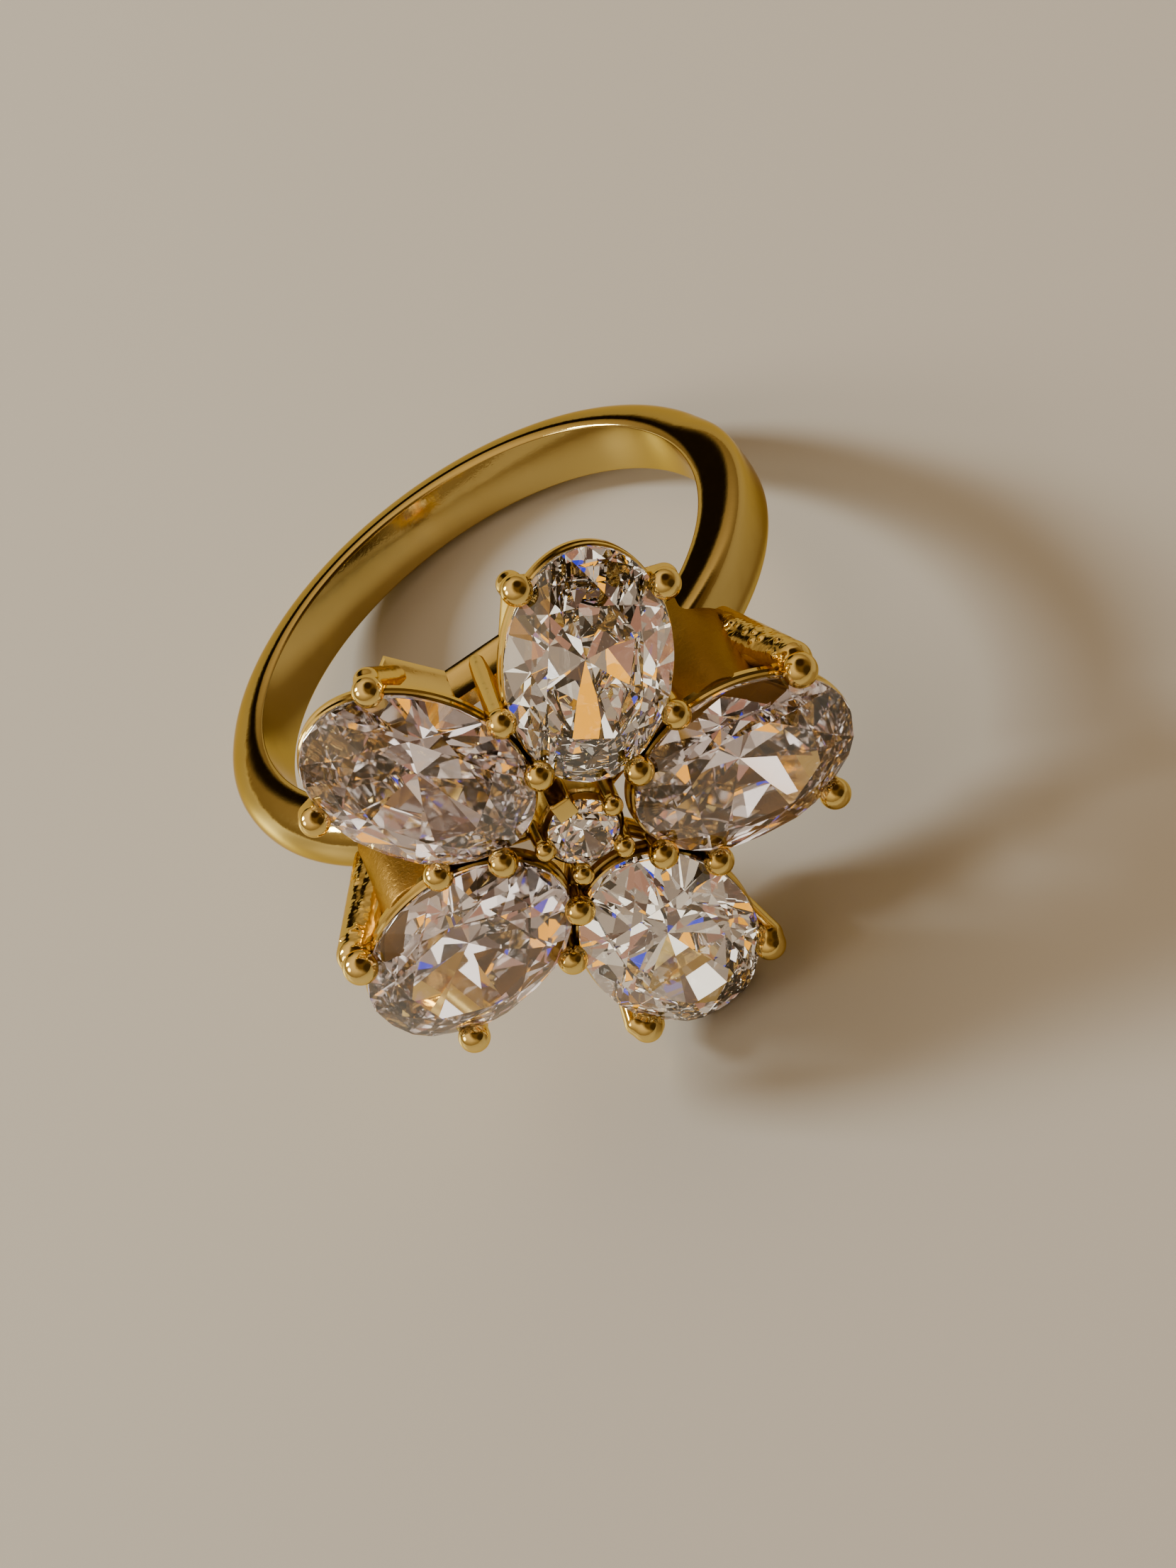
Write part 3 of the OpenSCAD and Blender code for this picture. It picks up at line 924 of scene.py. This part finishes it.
def stone_finish(name, tint, haze):
    """Cut stone, clear or with a faint haze."""
    finish = Finish(name)
    shader = finish.node("ShaderNodeBsdfPrincipled", Base_Color=(*tint, 1), Roughness=haze, IOR=STONE_IOR)
    shader.inputs["Transmission Weight"].default_value = 1.0
    return finish.done(shader)


FLOOR_HALF = 0.6
FLOOR_LIGHT = (0.64, 0.595, 0.52)
FLOOR_DEEP = (0.60, 0.555, 0.485)
FLOOR_CLOUDS = 14.0
FLOOR_ROUGHNESS = 0.32


def floor_finish():
    """A plain pale surface with large faint clouds."""
    finish = Finish("floor")
    cloud = finish.noise(FLOOR_CLOUDS, 3.0)
    colour = finish.mix(cloud, FLOOR_LIGHT, FLOOR_DEEP)
    shader = finish.node("ShaderNodeBsdfPrincipled", Base_Color=colour, Roughness=FLOOR_ROUGHNESS)
    return finish.done(shader)


# Stage, lights and camera

def make_floor():
    """The surface the ring lies on. Rays that pass through the stones see the room instead of it."""
    half = FLOOR_HALF
    floor = new_object("floor", [(-half, -half, 0), (half, -half, 0), (half, half, 0), (-half, half, 0)],
                       [(0, 1, 2, 3)])
    floor.data.materials.append(floor_finish())
    floor.visible_transmission = False


WINDOW_TOWARD = (-0.70, 0.51, 0.50)
WINDOW_AWAY = 0.5
WINDOW_SIZE = (0.09, 0.12)
WINDOW_POWER = 2.5
WINDOW_COLOUR = (0.94, 0.97, 0.95)
RING_MIDDLE = Vector((0, 0, 0.008))


def add_window():
    """The one lamp, which faces the ring's middle."""
    lamp = bpy.data.lights.new("window", "AREA")
    lamp.shape = "RECTANGLE"
    lamp.size, lamp.size_y = WINDOW_SIZE
    lamp.energy = WINDOW_POWER
    lamp.color = WINDOW_COLOUR
    light = bpy.data.objects.new("window", lamp)
    way = Vector(WINDOW_TOWARD).normalized()
    light.location = way * WINDOW_AWAY + RING_MIDDLE
    light.rotation_euler = way.to_track_quat("Z", "Y").to_euler()
    bpy.context.scene.collection.objects.link(light)


def way_patch(finish, way, toward, inner, outer):
    """A soft round patch of the room: 1 within the inner angle of a direction, 0 past the outer one."""
    facing = finish.node("ShaderNodeVectorMath", {"operation": "DOT_PRODUCT"})
    finish.tree.links.new(way.out, facing.inputs[0])
    facing.inputs[1].default_value = Vector(toward).normalized()
    ramp = finish.node("ShaderNodeMapRange", {"interpolation_type": "SMOOTHSTEP"},
                       Value=finish.out(facing, "Value"))
    ramp.inputs["From Min"].default_value = cos(radians(outer))
    ramp.inputs["From Max"].default_value = cos(radians(inner))
    return finish.out(ramp)


class Room(Finish):
    """The room round the ring, which the metal and the stones mirror."""

    def __init__(self, world):
        world.use_nodes = True
        self.tree = world.node_tree
        self.tree.nodes.clear()


# The calm room: colours overhead and at the sides, and the angles in degrees between which they blend
OVERHEAD = (1.0, 0.76, 0.50)
SIDES = (0.30, 0.21, 0.115)
OVERHEAD_INNER = 15
OVERHEAD_OUTER = 88

# Patches on it: direction, inner and outer angle in degrees, and colour
ROOM_PATCHES = (
    ((-0.105, 0.982, 0.159), 5, 15, (0.010, 0.006, 0.003)),
    ((0.52, -0.30, 0.70), 34, 60, (0.15, 0.085, 0.03)),
    ((0.479, 0.10, 0.872), 16, 34, (0.035, 0.018, 0.006)),
    ((0.656, -0.703, 0.273), 16, 36, (0.05, 0.03, 0.012)),
    ((-0.87, 0.08, 0.49), 6, 12, (8.0, 7.4, 6.2)),
)

# The busy room that is seen through the stones: cells of the colour that follows each start
CELL_SCALE = 7.0
CELL_COLOURS = (
    (0.0, (0.012, 0.008, 0.005)),
    (0.13, (0.085, 0.05, 0.035)),
    (0.25, (0.30, 0.14, 0.09)),
    (0.34, (0.26, 0.20, 0.15)),
    (0.60, (0.50, 0.42, 0.33)),
    (0.79, (1.4, 1.3, 1.12)),
    (0.925, (1.25, 0.52, 0.01)),
    (0.98, (0.02, 0.03, 0.60)),
)
BUSY_STRENGTH = 1.65

# What the camera itself sees of the room
WALL = (0.46, 0.41, 0.34)


def calm_colour(room, way):
    colour = room.mix(way_patch(room, way, (0, 0, 1), OVERHEAD_INNER, OVERHEAD_OUTER), SIDES, OVERHEAD)
    for toward, inner, outer, patch in ROOM_PATCHES:
        colour = room.mix(way_patch(room, way, toward, inner, outer), colour, patch)
    return colour


def busy_colour(room, way):
    cells = room.node("ShaderNodeTexVoronoi", Vector=way, Scale=CELL_SCALE)
    split = room.node("ShaderNodeSeparateColor")
    room.tree.links.new(cells.outputs["Color"], split.inputs[0])
    ramp = room.node("ShaderNodeValToRGB", Fac=room.out(split, 0))
    stops = ramp.color_ramp
    stops.interpolation = "CONSTANT"
    while len(stops.elements) < len(CELL_COLOURS):
        stops.elements.new(1.0)
    for element, (start, colour) in zip(stops.elements, CELL_COLOURS):
        element.position = start
        element.color = (*colour, 1)
    return room.out(ramp)


def light_room():
    """Rays see the calm room, except those through the stones and those from the camera."""
    add_window()
    world = bpy.data.worlds.new("room")
    room = Room(world)
    way = room.out(room.node("ShaderNodeTexCoord"), "Generated")
    calm = room.node("ShaderNodeBackground", Color=calm_colour(room, way), Strength=1.0)
    busy = room.node("ShaderNodeBackground", Color=busy_colour(room, way), Strength=BUSY_STRENGTH)
    wall = room.node("ShaderNodeBackground", Color=(*WALL, 1), Strength=1.0)
    paths = room.node("ShaderNodeLightPath")
    seen = calm
    for kind, shade in (("Is Transmission Ray", busy), ("Is Camera Ray", wall)):
        either = room.node("ShaderNodeMixShader", Fac=room.out(paths, kind))
        room.tree.links.new(seen.outputs[0], either.inputs[1])
        room.tree.links.new(shade.outputs[0], either.inputs[2])
        seen = either
    end = room.node("ShaderNodeOutputWorld")
    room.tree.links.new(seen.outputs[0], end.inputs["Surface"])
    bpy.context.scene.world = world


def place_camera():
    turn = REST.to_3x3().normalized()
    back = (turn @ CAMERA_BACK).normalized()
    up = (turn @ CAMERA_UP).normalized()
    right = up.cross(back).normalized()
    up = back.cross(right)
    lens = bpy.data.cameras.new("camera")
    lens.sensor_width = SENSOR_MM
    lens.lens = FOCAL_PX / PHOTO_H * SENSOR_MM
    lens.clip_start = CLIP_NEAR
    lens.clip_end = CLIP_FAR
    camera = bpy.data.objects.new("camera", lens)
    pose = Matrix((right, up, back)).transposed().to_4x4()
    pose.translation = REST @ CAMERA_AT
    camera.matrix_world = pose
    bpy.context.scene.collection.objects.link(camera)
    bpy.context.scene.camera = camera


# The ring

def lay_down(piece, node, smooth):
    """Brings a finished piece from the upright ring to its place on the floor."""
    piece.data.transform(REST)
    piece.data.polygons.foreach_set("use_smooth", [smooth] * len(piece.data.polygons))
    if smooth:
        piece.data.set_sharp_from_angle(angle=CRISP_ANGLE)
    piece.data.update()
    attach(piece, "root")
    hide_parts(node)


def wear(piece, material):
    piece.data.materials.clear()
    piece.data.materials.append(material)


def place_metal(piece, material):
    wear(piece, material)
    lay_down(piece, "ring_mount", True)


bounces = bpy.context.scene.cycles
bounces.max_bounces = 16
bounces.glossy_bounces = 10
bounces.transmission_bounces = 14

place_camera()
light_room()
make_floor()

# Painted shade: the band's gold is a darker copy of the head's gold, though both are the same metal
polished_shaded = gold_finish("polished_gold_shaded", 0.25, 0.02, (0.63, 0.485, 0.175), (0.55, 0.405, 0.125))
# The head's cast gold carries painted shade in its hollows
cast = gold_finish("cast_gold", 0.7, 0.02, (0.92, 0.72, 0.27), (0.84, 0.62, 0.19), hollow_shade=HOLLOW_SHADE)
soldered = gold_finish("soldered_gold", 0.7, 0.02, (0.90, 0.70, 0.25), (0.80, 0.58, 0.17),
                       wave_scale=SOLDER_WAVE_SCALE)
filed = gold_finish("filed_gold", 1.0, 0.2, (0.38, 0.22, 0.055), (0.31, 0.175, 0.04), FILED_DULLNESS)
clear_stone = stone_finish("clear_stone", (0.985, 0.96, 0.91), 0.0)
lilac_stone = stone_finish("lilac_stone", (0.965, 0.895, 0.92), LILAC_HAZE)

place_metal(make_band(), polished_shaded)
place_metal(make_basket(), cast)
place_metal(make_plates(), filed)
place_metal(make_joints(), soldered)
place_metal(make_claws(), cast)

for k in range(PETALS):
    stone = make_stone(f"petal_{k + 1}", PETAL_A, PETAL_B, PETAL_CROWN, PETAL_GIRDLE, PETAL_PAVILION,
                       petal_place(k), PETAL_SEED + k)
    lilac = k in LILAC_PETALS
    wear(stone, lilac_stone if lilac else clear_stone)
    lay_down(stone, f"petal_stone_{k + 1}", False)

centre = make_stone("centre", CENTRE_A, CENTRE_A, CENTRE_CROWN, CENTRE_GIRDLE, CENTRE_PAVILION,
                    Matrix.Translation((0, 0, CENTRE_Z)), CENTRE_SEED)
wear(centre, clear_stone)
lay_down(centre, "centre_stone", False)
